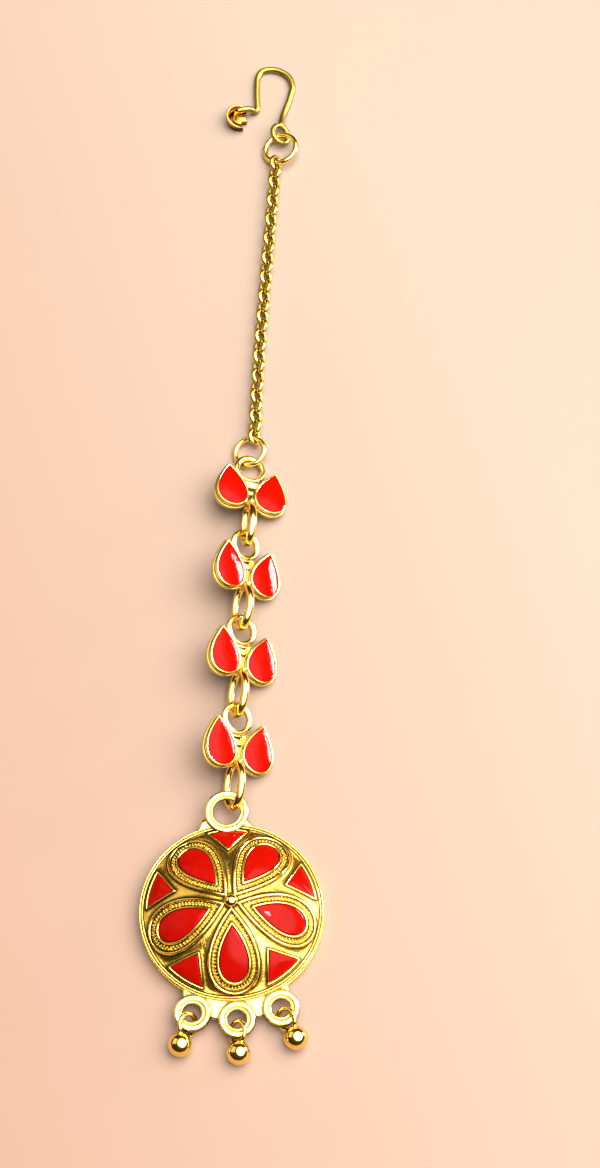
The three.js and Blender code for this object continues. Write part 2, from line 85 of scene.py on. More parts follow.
top_ring = dict(radius=2.9, band=1.05, thickness=1.0, height=2.35, reach=1.65, foot=3.4)
eyelet = dict(radius=2.35, band=1.12, thickness=1.3, height=1.75, reach=2.5, foot=1.9)
eyelet_spread = math.radians(23.2)
ring_swell = 0.15
stud_swell = 1.2

# The ground of the disc: dark lines of painted shade and drawn-up metal beside the borders, grit, and bars in the
# channels, whose floor is darkened with painted shade too
ground_steps = 420
contour_dark = 0.97
contour_reach = 0.28
channel_dark = 0.5
fillet_rise = 0.16
rim_fillet_rise = 0.5
rim_fillet_reach = 0.45
smooth_reach = 0.25
fine_grit = dict(height=0.007, cell=0.32, seed=3)
coarse_grit = dict(height=0.022, cell=0.8, seed=4)
bar_lines = (0.32, 0.68)
bar_step = 0.45
bar_lift = 0.12
bar_half_length = 0.2

ball_radius = 1.62
drop_wire = 0.66
drop_tilt = math.radians(42)

leaf_length = 6.5
leaf_width = 4.3
leaf_tilt = math.radians(8.5)
leaf_tip_across = 3.55
leaf_tip_up = 5.55
leaf_rim = 0.38
leaf_foot = 0.2
leaf_thickness = 1.3
leaf_foot_thickness = 0.55
leaf_pocket = 0.4
lip_inner = inlay_gap * 0.5
lip_width = 0.23
lip_step = 0.2
groove_depth = 0.09
groove_rise = 0.3
groove_width = 0.18
web_foot_width = 0.9
web_flare = 3.4
web_bands = [(1.0, 0.86, 0.09), (0.35, 0.5, 0.06)]
link_bead_radius = 0.42
link_eye = dict(radius=2.45, band=0.88, thickness=0.85, up=6.55, sink=0.8)
link_loop_wire = 1.02
link_loop_half_depth = 2.05
link_loop_reach = 6.4
link_loop_sink = 0.6
link_poses = [(-1, -7.8, 21), (-2.3, 0.5, 34), (-2.5, 0, 31), (-2.2, 3, 32)]

lower_ring = dict(radius=2.65, wire=0.8, roll=math.radians(-19))
upper_ring = dict(radius=2.95, wire=0.88, roll=math.radians(-18))

chain_link_count = 29
chain_wire = 0.56
chain_swell = 1.12
chain_link_width = 2.45
chain_pitch = 1.742
chain_bite = 0.05
chain_roll = math.radians(47)
chain_route = [(0, 0, 0.31), (0.01, 0.25, 0), (0.026, 0.5, 0), (0.044, 0.76, 0), (0.066, 1.07, 0.09)]
chain_ring_aside = math.radians(15)

hook_wire = 0.85
hook_eye_length = 4.0
hook_eye_width = 3.6
hook_eye_roll = math.radians(32)
hook_leg_length = 6.8
hook_leg_lean = 1.4
hook_eye_rise = 0.75
hook_arch_width = 6.4
hook_arch_rise = 4.55
hook_bar_length = 3.0
hook_swell = 1.14

# The arch as seen: its shift and lift, then (across from its left leg, down from its top) from the leg to the bend;
# the bar as (share of its run, share of its rise)
arch_shift = 0.42
arch_lift = 0.4
arch_outline = [
    (5.0, 6.2), (5.35, 4.8), (5.6, 3.5), (5.35, 2.1), (4.75, 1.1), (3.55, 0.3), (2.1, 0.0), (0.8, 0.35),
    (0.15, 1.4), (0.0, 3.0), (0.0, 5.5), (0.0, 7.8), (-0.25, 8.1),
]
tip_drop = 8.8
bar_rise = 1.2
bar_knots = [(0.28, 0.75), (0.55, 1.0)]

curl_radius = 2.25
curl_wall = 0.58
curl_height = 2.1
curl_start = math.radians(56)
curl_end = math.radians(286)
heart_turn = math.radians(-60)
heart_length = 2.4
heart_width = 2.6
heart_height = 1.5

# Where things are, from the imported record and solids
back_mount = next(m for m in frame["record"]["mounts"] if m["name"] == "pendant_back")
disc_middle = np.array(back_mount["pos_m"]) / MM + (0, disc_radius - back_rim_width / 2, 0)


def node_points(node):
    """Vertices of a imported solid, in millimetres."""
    mesh = frame["nodes"][node].data
    flat = np.zeros(3 * len(mesh.vertices), np.float32)
    mesh.vertices.foreach_get("co", flat)
    return flat.reshape(-1, 3).astype(float) / MM


def node_middle(node):
    """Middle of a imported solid's box, in millimetres."""
    points = node_points(node)
    return (points.min(0) + points.max(0)) / 2


# Camera: pinhole, 25.7 degrees off straight down, from the pendant's side
camera_offset = np.array((9.25, -112.4, 337.5))
camera_tilt = math.radians(25.7)
photo_height = 1168
focal_pixels = 2600
sensor_width = 36.0

camera_data = bpy.data.cameras.new("camera")
camera_data.sensor_width = sensor_width
camera_data.lens = focal_pixels / photo_height * sensor_width
camera_data.clip_start = 0.01
camera_data.clip_end = 20
camera = bpy.data.objects.new("camera", camera_data)
camera.location = (disc_middle * (1, 1, 0) + camera_offset) * MM
camera.rotation_euler = (camera_tilt, 0, 0)
bpy.context.scene.collection.objects.link(camera)
bpy.context.scene.camera = camera


# Shader graphs written as expressions

class Flow:
    """A socket whose arithmetic adds Math nodes."""

    def __init__(self, graph, socket):
        self.graph = graph
        self.socket = socket

    def math(self, operation, *others):
        """A Math node with this socket as its first value."""
        return self.graph.node("ShaderNodeMath", {"operation": operation}, {
            i: value for i, value in enumerate((self, *others))
        })

    def __add__(self, other):
        return self.math("ADD", other)

    __radd__ = __add__

    def __mul__(self, other):
        return self.math("MULTIPLY", other)

    __rmul__ = __mul__

    def __sub__(self, other):
        return self.math("SUBTRACT", other)

    def __rsub__(self, other):
        return (self * -1) + other

    def clamped(self):
        """The value kept between 0 and 1."""
        return self.graph.node("ShaderNodeClamp", {}, {0: self})


class Graph:
    """One material's node tree."""

    def __init__(self, name):
        self.material = bpy.data.materials.new(name)
        self.material.use_nodes = True
        self.tree = self.material.node_tree
        self.tree.nodes.clear()

    def node(self, kind, settings, inputs, output=0):
        """Makes a node: its settings first, then the values or links of its sockets."""
        made = self.tree.nodes.new(kind)
        for key, value in settings.items():
            if key == "stops":
                self.set_stops(made.color_ramp, value)
            else:
                setattr(made, key, value)
        for key, value in inputs.items():
            socket = made.inputs[key]
            if isinstance(value, Flow):
                self.tree.links.new(value.socket, socket)
            else:
                socket.default_value = value
        return Flow(self, made.outputs[output])

    @staticmethod
    def set_stops(ramp, stops):
        """Gives a colour ramp its (place, colour) stops."""
        while len(ramp.elements) < len(stops):
            ramp.elements.new(1)
        for element, (place, colour) in zip(ramp.elements, stops):
            element.position = place
            element.color = (*colour, 1)

    def place(self):
        """Object coordinates, in metres."""
        return self.node("ShaderNodeTexCoord", {}, {}, "Object")

    def noise(self, grain_mm, detail=3.0, roughness=0.55):
        """Noise whose grains are about this many millimetres across."""
        inputs = {"Vector": self.place(), "Scale": 1 / (grain_mm * MM), "Detail": detail, "Roughness": roughness}
        return self.node("ShaderNodeTexNoise", {}, inputs, "Fac")

    def cells(self, grain_mm):
        """Distance from the middles of cells of this size, for grains of metal."""
        inputs = {"Vector": self.place(), "Scale": 1 / (grain_mm * MM), "Randomness": 0.9}
        return self.node("ShaderNodeTexVoronoi", {}, inputs, "Distance")

    def attribute(self, name):
        """A value stored at the points of the mesh."""
        return self.node("ShaderNodeAttribute", {"attribute_name": name}, {}, "Fac")

    def blend(self, share, first, second):
        """Colour that goes from the first to the second as the share goes from 0 to 1."""
        return self.node("ShaderNodeMix", {"data_type": "RGBA"}, {0: share, 6: first, 7: second}, 2)

    def bump(self, height, distance_mm, strength=1.0):
        """A normal tilted by the slope of a height."""
        return self.node("ShaderNodeBump", {}, {"Height": height, "Distance": distance_mm * MM, "Strength": strength})

    def finish(self, **sockets):
        """The material, from a Principled BSDF with these sockets."""
        shader = self.node("ShaderNodeBsdfPrincipled", {}, {
            key.replace("_", " ").title().replace("Ior", "IOR"): value for key, value in sockets.items()
        })
        self.tree.links.new(shader.socket, self.tree.nodes.new("ShaderNodeOutputMaterial").inputs[0])
        return self.material


bright_gold = (0.98, 0.74, 0.20, 1)
amber_gold = (0.90, 0.53, 0.05, 1)
deep_gold = (0.45, 0.19, 0.015, 1)
sandy_light = (1.0, 0.69, 0.12, 1)
sandy_amber = (0.95, 0.48, 0.025, 1)
# Painted shade colours: near-black gold and red gold that stand in for shade in creases, gaps and undersides
painted_shade_colour = (0.008, 0.003, 0.0004, 1)
red_painted_shade_colour = (0.03, 0.003, 0.0005, 1)


def polished_gold(name, light, deep, rough=0.05, shade_colour=painted_shade_colour):
    """Bright plating with soft waves, darkened towards a painted shade colour wherever the surface's painted shade
    value rises.
    """
    g = Graph(name)
    waves = g.noise(1.6, 2.0)
    fine = g.noise(0.25, 3.0)
    hollow = g.attribute("hollow")
    # Painted shade: the mesh's shade value pulls the colour towards the shade colour and roughens it
    dark = (hollow * (fine * 0.5 + 0.75)).clamped()
    colour = g.blend((waves * 1.4 - 0.45).clamped(), light, deep)
    return g.finish(
        base_color=g.blend(dark, colour, shade_colour),
        metallic=1.0,
        roughness=(rough + fine * 0.07 + dark * 0.3).clamped(),
        normal=g.bump(fine * 0.4 + waves * 2.0, 0.02, 0.5),
    )


def sandy_gold():
    """Sand-cast ground: fine grains as bump, deeper colour between them, and painted shade wherever the surface's
    painted shade value rises.
    """
    g = Graph("sandy_gold")
    grains = g.cells(0.3)
    fine = g.noise(0.16, 4.0)
    patches = g.noise(1.3, 2.0)
    hollow = g.attribute("hollow")
    pits = (grains * 1.5 + patches * 2.2 - 1.4).clamped()
    colour = g.blend((patches * 1.8 - 0.5).clamped(), sandy_light, sandy_amber)
    # Painted shade beside the borders, in the channels and on the rim, from the mesh's shade value
    dark = (hollow * (fine * 0.6 + 0.7)).clamped()
    return g.finish(
        base_color=g.blend(dark, g.blend(pits * 0.4, colour, deep_gold), painted_shade_colour),
        metallic=1.0,
        roughness=(0.11 + fine * 0.18 + dark * 0.25).clamped(),
        normal=g.bump(fine * 0.5 - grains * 1.2, 0.016, 0.8),
    )


def red_enamel(name, light, deep):
    """Glossy opaque enamel, a little uneven in colour and in its poured surface."""
    g = Graph(name)
    clouds = g.noise(2.2, 2.0)
    waves = g.noise(0.9, 1.0)
    return g.finish(
        base_color=g.blend((clouds * 1.4 - 0.2).clamped(), light, deep),
        metallic=0.0,
        roughness=(0.05 + clouds * 0.04).clamped(),
        specular_ior_level=0.035,
        coat_weight=0.03,
        coat_roughness=0.04,
        normal=g.bump(waves + g.noise(0.3, 2.0) * 0.15, 0.05, 0.35),
    )


gold = polished_gold("polished_gold", bright_gold, amber_gold)
dull_gold = polished_gold("dull_gold", (0.60, 0.43, 0.085, 1), (0.40, 0.24, 0.015, 1), 0.16)
hook_gold = polished_gold("hook_gold", (0.32, 0.235, 0.045, 1), (0.24, 0.155, 0.02, 1), 0.3)
red_gold = polished_gold("reddish_gold", (0.90, 0.44, 0.07, 1), (0.62, 0.19, 0.015, 1), 0.16, red_painted_shade_colour)
sand = sandy_gold()
leaf_red = red_enamel("leaf_enamel", (0.33, 0.003, 0.0004, 1), (0.29, 0.002, 0.0003, 1))
disc_red = red_enamel("disc_enamel", (0.33, 0.0034, 0.0010, 1), (0.24, 0.002, 0.0006, 1))


# Surfaces as arrays of points

class Skin:
    """Surfaces gathered into one mesh, with a painted shade value, from 0 to 1, at each point: how far its colour is
    darkened to stand in for shade.
    """

    def __init__(self):
        self.points = []
        self.faces = []
        self.hollow = []
        self.count = 0

    def add(self, surface, hollow=0.0, turned=None, moved=(0, 0, 0)):
        """Adds (points, faces), turned by a matrix and moved, in millimetres.
        The painted shade value is one number, one for each point, or a function of the unturned points."""
        points, faces = surface
        self.hollow.append(hollow(points) if callable(hollow) else np.broadcast_to(hollow, len(points)))
        if turned is not None:
            points = points @ turned.T
        self.points.append(points + moved)
        self.faces += [tuple(i + self.count for i in face) for face in faces]
        self.count += len(points)

    def piece(self, name, material, slot, *replaced):
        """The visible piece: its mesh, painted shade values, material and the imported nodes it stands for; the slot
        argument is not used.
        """
        mesh = bpy.data.meshes.new(name)
        points = np.concatenate(self.points) * MM
        mesh.from_pydata(points.tolist(), [], self.faces)
        mesh.polygons.foreach_set("use_smooth", np.ones(len(mesh.polygons), bool))
        values = mesh.attributes.new("hollow", "FLOAT", "POINT")
        values.data.foreach_set("value", np.concatenate(self.hollow).astype(np.float32))
        mesh.materials.append(material)
        made = bpy.data.objects.new(name, mesh)
        bpy.context.scene.collection.objects.link(made)
        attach(made, "root")
        if replaced:
            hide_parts(*replaced)
        return made


def shut(rings, first=None, last=None, closed=False):
    """Quads between neighbouring closed rings; poles, or a wrap from last ring to first, shut the ends.
    The faces are turned outwards by the sign of the enclosed volume."""
    count, around = rings.shape[:2]
    grid = np.arange(count * around).reshape(count, around)
    after = np.roll(grid, -1, axis=1)
    rows = np.arange(count if closed else count - 1)
    following = (rows + 1) % count
    quads = np.stack([grid[rows], after[rows], after[following], grid[following]], -1).reshape(-1, 4)
    points = rings.reshape(-1, 3)
    fans = []
    if first is not None:
        fans.append(np.stack([after[0], grid[0], np.full(around, len(points))], -1))
        points = np.vstack([points, first])
    if last is not None:
        fans.append(np.stack([grid[-1], after[-1], np.full(around, len(points))], -1))
        points = np.vstack([points, last])
    triangles = np.concatenate([quads[:, [0, 1, 2]], quads[:, [0, 2, 3]], *fans])
    a, b, c = (points[triangles[:, i]] for i in range(3))
    outward = np.einsum("ij,ij->i", a, np.cross(b, c)).sum() > 0
    faces = [tuple(face) for part in [quads, *fans] for face in part.tolist()]
    if not outward:
        faces = [face[::-1] for face in faces]
    return points, faces


def below(height, depth, most=0.85):
    """Painted shade value that rises as the surface drops from a height by a depth: shade painted on a thing's lower
    parts.
    """
    def value(points):
        share = np.clip((height - points[:, 2]) / depth, 0, 1)
        return most * share * share * (3 - 2 * share)
    return value


def unit(vectors):
    """Vectors divided by their lengths."""
    return vectors / np.linalg.norm(vectors, axis=-1, keepdims=True)


def spun(angle):
    """Matrix of a turn about Z."""
    c, s = math.cos(angle), math.sin(angle)
    return np.array([[c, -s, 0], [s, c, 0], [0, 0, 1]])


def pitched(angle):
    """Matrix of a turn about X."""
    c, s = math.cos(angle), math.sin(angle)
    return np.array([[1, 0, 0], [0, c, -s], [0, s, c]])


def rolled(angle):
    """Matrix of a turn about Y."""
    c, s = math.cos(angle), math.sin(angle)
    return np.array([[c, 0, s], [0, 1, 0], [-s, 0, c]])


def oval(width, height, count, power=2.0):
    """Superellipse section: |x / a| ** power + |y / b| ** power = 1."""
    angle = TAU * np.arange(count) / count
    c, s = np.cos(angle), np.sin(angle)
    return np.stack([
        width / 2 * np.sign(c) * np.abs(c) ** (2 / power),
        height / 2 * np.sign(s) * np.abs(s) ** (2 / power),
    ], -1)


def swept(path, out, up, section, scale=1.0, closed=True):
    """A section carried along a path: point = path + out * x + up * y, with x and y times the scale there."""
    scale = np.broadcast_to(scale, len(path))[:, None, None]
    x = section[None, :, 0, None] * scale
    y = section[None, :, 1, None] * scale
    rings = path[:, None] + out[:, None] * x + up[:, None] * y
    if closed:
        return shut(rings, closed=True)
    return shut(rings, path[0], path[-1])


def ellipse_ring(half_across, half_up, section, count, swell=0.0):
    """A section carried round an ellipse in the XY plane, thicker by swell where Y is highest."""
    angle = TAU * np.arange(count) / count
    c, s, zero = np.cos(angle), np.sin(angle), np.zeros(count)
    path = np.stack([half_across * c, half_up * s, zero], -1)
    out = unit(np.stack([half_up * c, half_across * s, zero], -1))
    up = np.broadcast_to((0.0, 0.0, 1.0), path.shape)
    return swept(path, out, up, section, 1 + swell * s)


def flat_ring(ring, power=2.4):
    """A cast ring with a full, slightly flattened section."""
    radius = ring["radius"] - ring["band"] / 2
    return ellipse_ring(radius, radius, oval(ring["band"], ring["thickness"], 20, power), 72)


def teardrop(length, width, grow=0.0, count=96):
    """Outline with its tip at the origin and its round end along +X:
    across = width * sin(t) * sin(t / 2) / peak while along = length * (1 - cos(t)) / 2."""
    t = TAU * np.arange(count) / count
    peak = 4 / (3 * math.sqrt(3))
    tip_grow = 1.5 * grow
    along = (length + tip_grow + grow) * (1 - np.cos(t)) / 2 - tip_grow
    across = (width / 2 + grow) * np.sin(t) * np.sin(t / 2) / peak
    return np.stack([along, across], -1)


def outline_out(outline):
    """Outward directions of a closed outline in plan, run anticlockwise."""
    along = np.roll(outline, -1, axis=0) - np.roll(outline, 1, axis=0)
    return unit(np.stack([along[:, 1], -along[:, 0], np.zeros(len(outline))], -1))


def rounded_line(corners, radius, steps=4):
    """A line through the corners, each inner corner cut to an arc-like curve of about this radius."""
    corners = np.array(corners, float)
    line = [corners[:1]]
    share = np.linspace(0, 1, steps)[:, None]
    for before, corner, after in zip(corners[:-2], corners[1:-1], corners[2:]):
        reach = min(radius, np.linalg.norm(before - corner) / 2.1, np.linalg.norm(after - corner) / 2.1)
        start = corner + (before - corner) / np.linalg.norm(before - corner) * reach
        end = corner + (after - corner) / np.linalg.norm(after - corner) * reach
        line.append((1 - share) ** 2 * start + 2 * share * (1 - share) * corner + share ** 2 * end)
    line.append(corners[-1:])
    return np.concatenate(line)


def patchy(x, y, cell, seed):
    """Smooth random heights from -1 to 1: a lattice of random values, blended with s * s * (3 - 2 * s)."""
    lattice = np.random.default_rng(seed).uniform(-1, 1, (128, 128))
    column, row = np.floor(x / cell).astype(int), np.floor(y / cell).astype(int)
    u, v = x / cell - column, y / cell - row
    u, v = u * u * (3 - 2 * u), v * v * (3 - 2 * v)
    a, b = lattice[row % 128, column % 128], lattice[row % 128, (column + 1) % 128]
    c, d = lattice[(row + 1) % 128, column % 128], lattice[(row + 1) % 128, (column + 1) % 128]
    return (a * (1 - u) + b * u) * (1 - v) + (c * (1 - u) + d * u) * v


def ball(radius, count=32):
    """A sphere from rings of latitude with a pole at each end."""
    height = np.linspace(-math.pi / 2, math.pi / 2, count // 2 + 1)[1:-1]
    around = TAU * np.arange(count) / count
    rings = radius * np.stack([
        np.cos(height)[:, None] * np.cos(around),
        np.cos(height)[:, None] * np.sin(around),
        np.sin(height)[:, None] * np.ones(count),
    ], -1)
    return shut(rings, np.array((0, 0, -radius)), np.array((0, 0, radius)))


# Pendant

dome_radius = disc_radius - rim_width
dome_sphere = (dome_radius ** 2 + dome_rise ** 2) / (2 * dome_rise)
petal_tip_radius = dome_radius - petal_rim_gap - petal_length
corner_outer_radius = dome_radius - corner_rim_gap
corner_apex_radius = corner_outer_radius - corner_depth
disc_matrix = spun(disc_turn)
first_petal_angle = math.radians(-90)
petal_step = TAU / petal_count


def dome_height(x, y):
    """Height of the outer face of a spherical cap."""
    square = np.minimum(x * x + y * y, dome_radius ** 2)
    foot = math.sqrt(dome_sphere ** 2 - dome_radius ** 2)
    return dome_foot_height + np.sqrt(dome_sphere ** 2 - square) - foot


def petal_outline(grow, count=96):
    """A petal cell's teardrop, its tip towards the stud, grown by a width all round."""
    return teardrop(petal_length, petal_width, grow, count) + (petal_tip_radius, 0)


def frame_outline(grow=0.0, count=128):
    """The middle line of the large teardrop wire round a petal, reaching to the rim."""
    end = dome_radius - frame_border / 2 - frame_rim_gap
    return teardrop(end - frame_tip_radius, frame_width, grow, count) + (frame_tip_radius, 0)


def corner_outline(grow, count=24):
    """A three-cornered cell: two straight sides from the apex and an arc along the rim."""
    apex = np.array((corner_apex_radius - 1.6 * grow, 0.0))
    radius = corner_outer_radius + grow
    half = corner_half_angle + 1.3 * grow / radius
    angle = np.linspace(-half, half, count)
    arc = radius * np.stack([np.cos(angle), np.sin(angle)], -1)
    share = np.linspace(0, 1, count, endpoint=False)[:, None]
    return np.concatenate([apex + (arc[0] - apex) * share, arc[:-1], arc[-1] + (apex - arc[-1]) * share])


def on_dome(outline, height=0.0):
    """An outline lifted to the dome: z = dome height at (x, y) + height."""
    return np.stack([*outline.T, dome_height(*outline.T) + height], -1)


def border(outline, width):
    """A half-round wire laid along an outline on the dome, its underside sunk in the ground."""
    path = on_dome(outline, -border_sink)
    up = np.broadcast_to((0.0, 0.0, 1.0), path.shape)
    return swept(path, outline_out(outline), up, oval(width, 2 * (border_rise + border_sink), 14, 2.3))


def nearest(points, outline):
    """Distance in plan from each point to an outline's segments."""
    along = np.roll(outline, -1, axis=0) - outline
    length = (along ** 2).sum(-1)
    best = np.full(len(points), 1e9)
    for origin, step, square in zip(outline, along, length):
        offset = points - origin
        share = np.clip(offset @ step / square, 0, 1)
        best = np.minimum(best, ((offset - share[:, None] * step) ** 2).sum(-1))
    return np.sqrt(best)


def inside(points, outline):
    """Whether each point lies in an outline: the outline crosses the ray along +X an odd number of times."""
    x, y = points.T
    found = np.zeros(len(points), bool)
    for (ax, ay), (bx, by) in zip(outline, np.roll(outline, -1, axis=0)):
        if ay != by:
            crosses = (ay > y) != (by > y)
            found ^= crosses & (x < (bx - ax) * (y - ay) / (by - ay) + ax)
    return found


def disc_borders():
    """Every border on the disc as (outline, width), each turned to its place."""
    made = []
    for i in range(petal_count):
        turn = spun(first_petal_angle + i * petal_step)[:2, :2].T
        between = spun(first_petal_angle + (i + 0.5) * petal_step)[:2, :2].T
        made.append((frame_outline() @ turn, frame_border))
        made.append((petal_outline(inlay_gap + petal_border / 2) @ turn, petal_border))
        made.append((corner_outline(inlay_gap + corner_border / 2) @ between, corner_border))
    return made


def pendant_ground(borders):
    """The disc turned from one profile. Each point of its face rises by grit away from the borders and by a fillet,
    exp(-distance / reach), against them; its painted shade value is exp(-(distance / reach) ** 2.6) beside them, and
    painted shade also darkens each channel's floor and the rim."""
    around = ground_steps
    inner = disc_radius - back_rim_width
    face = np.linspace(0, dome_radius, 104)[1:]
    profile = [np.stack([face, dome_height(face, 0)], -1)]
    profile.append(rounded_line([
        (dome_radius, dome_foot_height),
        (dome_radius + rim_width / 4, rim_height),
        (disc_radius - rim_step_depth, rim_height),
        (disc_radius - rim_step_depth, rim_step_height),
        (disc_radius, rim_step_height),
        (disc_radius, 0),
        (inner, 0),
        (inner, dome_height(inner, 0) - dome_wall),
    ], 0.16)[1:])
    back = np.linspace(inner, 0, 20)[1:-1]
    profile.append(np.stack([back, dome_height(back, 0) - dome_wall], -1))
    radius, height = np.concatenate(profile).T
    angle = TAU * np.arange(around) / around
    x, y = radius[:, None] * np.cos(angle), radius[:, None] * np.sin(angle)
    z = np.broadcast_to(height[:, None], x.shape).copy()
    rings = np.stack([x, y, z], -1)
    plan = rings[:len(face), :, :2].reshape(-1, 2)
    gap = np.min([nearest(plan, outline) - width / 2 for outline, width in borders], axis=0)
    near_rim = dome_radius - np.linalg.norm(plan, axis=1)
    near_stud = np.abs(np.linalg.norm(plan, axis=1) - stud_radius * stud_swell)
    edge = np.min([gap, near_rim, near_stud], axis=0)
    # Painted shade: dark lines beside the borders, the rim and the stud, a darker floor in each channel, and a dark
    # rim round the dome between its beads
    contour = contour_dark * np.exp(-(np.maximum(edge, 0) / contour_reach) ** 2.6)
    channel = np.any([inside(plan, outline) for outline, width in borders if width == frame_border], axis=0)
    on_rim = (height > rim_step_height) & (radius > dome_radius - 0.01)
    hollow = np.repeat(np.where(on_rim, 0.9, 0.0)[:, None], around, axis=1)
    hollow[:len(face)] = np.maximum(contour, channel_dark * channel).reshape(len(face), around)
    fillet = fillet_rise * np.exp(-np.maximum(np.minimum(gap, near_stud), 0) / contour_reach)
    fillet = (fillet + rim_fillet_rise * np.exp(-near_rim / rim_fillet_reach)).reshape(len(face), around)
    open_ground = np.clip(edge / smooth_reach, 0, 1).reshape(len(face), around)
    rough = sum(grit["height"] * patchy(x, y, grit["cell"], grit["seed"]) for grit in (fine_grit, coarse_grit))
    rings[:len(face), :, 2] += rough[:len(face)] * open_ground + fillet
    top, under = dome_height(0, 0), dome_height(0, 0) - dome_wall
    surface = shut(rings, np.array((0, 0, top)), np.array((0, 0, under)))
    return surface, np.append(hollow.reshape(-1), (0, 0))


def grain_rows(rng):
    """Short bars laid across the channel between each petal's two borders, uneven in size and place:
    balls scaled along three axes, set at even steps along two lines between the borders."""
    skin = Skin()
    grain, faces = ball(1.0, 10)
    for i in range(petal_count):
        turn = disc_matrix @ spun(first_petal_angle + i * petal_step)
        inner_line = petal_outline(inlay_gap + petal_border, 400)
        outer_line = frame_outline(-frame_border / 2, 400)
        for share in bar_lines:
            line = inner_line * (1 - share) + outer_line * share
            length = np.linalg.norm(np.diff(line, axis=0), axis=1).cumsum()
            for place in np.arange(0.3, length[-1], bar_step):
                at = np.searchsorted(length, place)
                spot = line[at] + rng.uniform(-0.06, 0.06, 2)
                across = outer_line[at] - inner_line[at]
                half_length = min(np.linalg.norm(across) * 0.24, bar_half_length)
                bearing = math.atan2(across[1], across[0]) + rng.uniform(-0.35, 0.35)
                middle = turn @ (*spot, dome_height(*spot) + bar_lift) + disc_middle
                size = (half_length * rng.uniform(0.7, 1.1), rng.uniform(0.09, 0.14), rng.uniform(0.18, 0.3))
                # Painted shade at the foot of each bar
                skin.add((grain * size, faces), below(0.05, 0.12), turn @ spun(bearing), middle)
    return skin


def flange(knots, middle_height, thickness):
    """A plate round part of the disc's edge, from the rim out to a radius given at angles in degrees:
    an oval section between the two radii, swept round the disc."""
    angles, radii = np.array(knots, float).T
    angle = np.linspace(angles[0], angles[-1], 160)
    outer = np.interp(angle, angles, radii)
    kernel = np.hanning(9) / np.hanning(9).sum()
    outer = np.convolve(np.pad(outer, 4, "edge"), kernel, "valid")
    inner = disc_radius - rim_width
    section = oval(1.0, thickness, 24, 3.2)
    radius = (outer + inner)[:, None] / 2 + (outer - inner)[:, None] * section[:, 0]
    turn = np.radians(angle)[:, None]
    rings = np.stack([
        radius * np.cos(turn),
        radius * np.sin(turn),
        np.broadcast_to(section[:, 1] + middle_height, radius.shape),
    ], -1)
    return shut(rings, rings[0].mean(0), rings[-1].mean(0))


# Outer radius of each plate at angles in degrees: the bottom one links the eyelets, the top one has shoulders
eyelet_step = math.degrees(eyelet_spread)
eyelet_side = [(-10.6, 12.6), (-8.6, 13.4), (-6.9, 14.8), (-5.2, 14.0), (-3, 13.35), (0, 13.2)]
eyelet_gap = [(3, 13.35), (5.2, 14.0), (6.9, 14.9), (eyelet_step / 2, 15.1)]
bottom_knots = [(a - 90 - eyelet_step, r) for a, r in eyelet_side + eyelet_gap]
bottom_knots += [(-a - 90, r) for a, r in eyelet_gap[-2::-1]] + [(-90, 13.2)]
bottom_knots += [(-90 + a, r) for a, r in eyelet_gap] + [(-90 + eyelet_step - a, r) for a, r in eyelet_gap[-2::-1]]
bottom_knots += [(-90 + eyelet_step - a, r) for a, r in eyelet_side[::-1]]
top_knots = [(70, 12.5), (74, 12.7), (77.5, 13.3), (79.5, 13.9), (84, 12.6), (96, 12.6)]
top_knots += [(100, 13.7), (102, 13.9), (104.5, 13.8), (107, 13.0), (111, 12.5)]

eyelet_angles = [first_petal_angle + side * eyelet_spread for side in (-1, 0, 1)]
borders = disc_borders()

ground = Skin()
surface, hollow = pendant_ground(borders)
ground.add(surface, hollow, disc_matrix, disc_middle)
ground.piece("pendant_ground", sand, "gold_metal", "pendant_body")


def near_ground(points):
    """Painted shade value along the foot of a border on the dome, where it meets the ground."""
    height = points[:, 2] - dome_height(points[:, 0], points[:, 1])
    share = np.clip((0.34 - height) / 0.2, 0, 1)
    return 0.9 * share * share * (3 - 2 * share)


raised = Skin()
for outline, width in borders:
    raised.add(border(outline, width), near_ground, disc_matrix, disc_middle)
stud_place = disc_middle + (0, 0, dome_height(0, 0) + 0.1)
# Painted shade on the lower half of the stud
raised.add(ball(stud_radius * stud_swell, 40), below(0.5, 0.4, 0.95), None, stud_place)
for ring, angle in [(top_ring, math.radians(90)), *((eyelet, a) for a in eyelet_angles)]:
    turn = disc_matrix @ spun(angle)
    place = turn @ (disc_radius + ring["reach"], 0, ring["height"]) + disc_middle
    whole_band = ring["band"] + ring_swell
    outer = dict(ring, radius=ring["radius"] + ring_swell, band=whole_band * 0.68)
    # Painted shade on the lower sides of the ring's outer and inner bands
    raised.add(flat_ring(outer, 4.0), below(ring["thickness"] * 0.42, 0.25, 0.95), turn, place)
    inner = dict(
        ring, radius=outer["radius"] - whole_band * 0.6, band=whole_band * 0.4, thickness=ring["thickness"] * 0.8,
    )
    raised.add(flat_ring(inner, 2.4), below(ring["thickness"] * 0.25, 0.25, 0.8), turn, place)


def round_eyelets(points):
    """Painted shade value on the plate between the eyelets: beside their rings and the disc's wall, and underneath."""
    reach = disc_radius + eyelet["reach"]
    edge = np.linalg.norm(points[:, :2], axis=1) - disc_radius
    for angle in eyelet_angles:
        middle = reach * np.array((math.cos(angle), math.sin(angle)))
        ring_edge = np.linalg.norm(points[:, :2] - middle, axis=1) - eyelet["radius"] - ring_swell
        edge = np.minimum(edge, ring_edge)
    beside = 0.9 * np.exp(-(np.maximum(edge, 0) / 0.22) ** 2)
    return np.maximum(beside, below(eyelet["height"] - 0.1, 0.3)(points))


